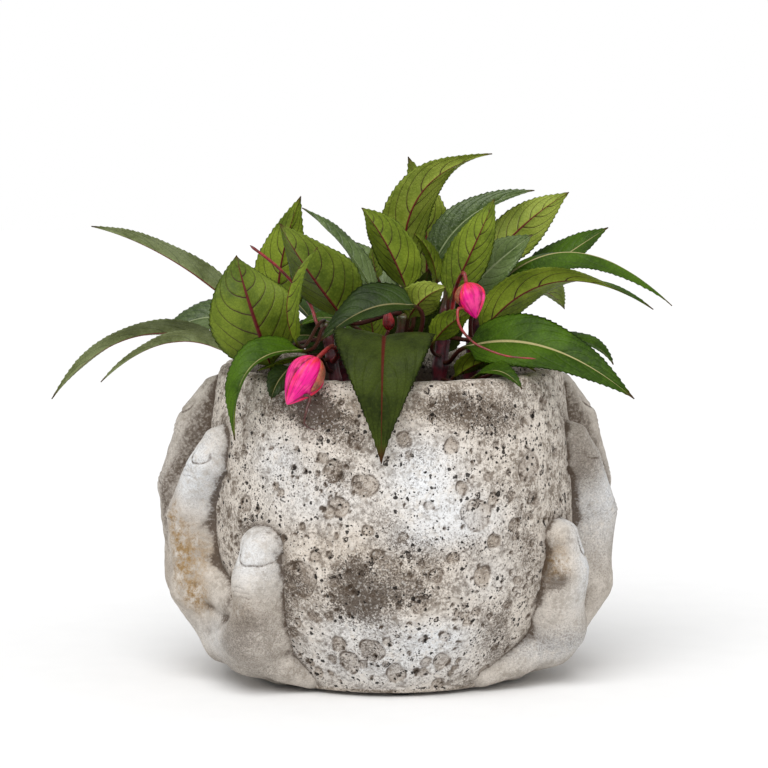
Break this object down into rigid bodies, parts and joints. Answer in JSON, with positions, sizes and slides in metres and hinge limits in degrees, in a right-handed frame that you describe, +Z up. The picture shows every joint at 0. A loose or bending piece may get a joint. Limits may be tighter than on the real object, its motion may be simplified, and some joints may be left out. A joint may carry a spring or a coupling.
{
  "type": "potted impatiens planter",
  "caption": "Leafy impatiens with closed pink buds in a cast cement moon bowl that two sculpted hands hold.",
  "frame": {"origin": "middle of the underside of the whole object's box, on the surface it stands on", "axes": "+Z up; +X to the right and -Y towards the viewer when the front of the pot is seen"},
  "size_m": [0.3208, 0.2092, 0.2746],
  "materials": {
    "cast_cement": "pale grey-cream cast cement, pitted and cratered, matt, with brown and bluish stains",
    "potting_soil": null,
    "black_felt": "black felt pad, matt",
    "dark_stem": "dark maroon smooth juicy stem, slightly glossy",
    "leaf": "serrated leaf, darker glossy upper side, yellow-green underside with maroon veins",
    "pink_petal": "hot pink closed petals with coral edges, soft sheen",
    "red_stalk": "thin red stalk and spur, smooth"
  },
  "bodies": {
    "root": {"planter": "cast_cement", "pad_front": "black_felt", "pad_right": "black_felt", "pad_back": "black_felt", "pad_left": "black_felt", "stem_left": "dark_stem", "stem_centre": "dark_stem", "stem_right": "dark_stem", "stem_far_right": "dark_stem", "stem_back": "dark_stem", "stem_back_left": "dark_stem", "soil": "potting_soil", "leaf_far_left_upper": "leaf", "leaf_far_left_lower": "leaf", "leaf_left_slim": "leaf", "leaf_left_back_grey": "leaf", "leaf_left_broad": "leaf", "leaf_left_upright_back": "leaf", "leaf_left_centre_broad": "leaf", "leaf_left_narrow_front": "leaf", "leaf_glossy_left": "leaf", "leaf_centre_left_upright": "leaf", "leaf_top_arching": "leaf", "leaf_top_back": "leaf", "leaf_centre_back_slim": "leaf", "leaf_centre_right_upright": "leaf", "leaf_upper_right": "leaf", "leaf_right_grey": "leaf", "leaf_right_back": "leaf", "leaf_right_long_upper": "leaf", "leaf_right_long_lower": "leaf", "leaf_right_broad": "leaf", "leaf_right_under": "leaf", "leaf_front_drooping": "leaf", "leaf_centre_folded": "leaf", "leaf_centre_small": "leaf", "leaf_young_upright": "leaf", "leaf_right_dark_low": "leaf", "leaf_front_right_small": "leaf", "leaf_front_left_drooping": "leaf", "leaf_front_left_low": "leaf", "leaf_front_left_tip": "leaf", "leaf_left_inner": "leaf", "leaf_right_inner": "leaf", "leaf_back_grey": "leaf", "leaf_back_olive": "leaf", "leaf_centre_shaded": "leaf", "leaf_back_left": "leaf", "leaf_back_centre": "leaf", "leaf_back_right": "leaf", "leaf_back_drooping": "leaf", "bud_left": "pink_petal", "bud_left_stalk": "red_stalk", "bud_left_spur": "red_stalk", "bud_right": "pink_petal", "bud_right_stalk": "red_stalk", "bud_right_spur": "red_stalk", "bud_small": "pink_petal", "bud_small_stalk": "red_stalk", "spent_stalk": "red_stalk"}
  },
  "joints": []
}
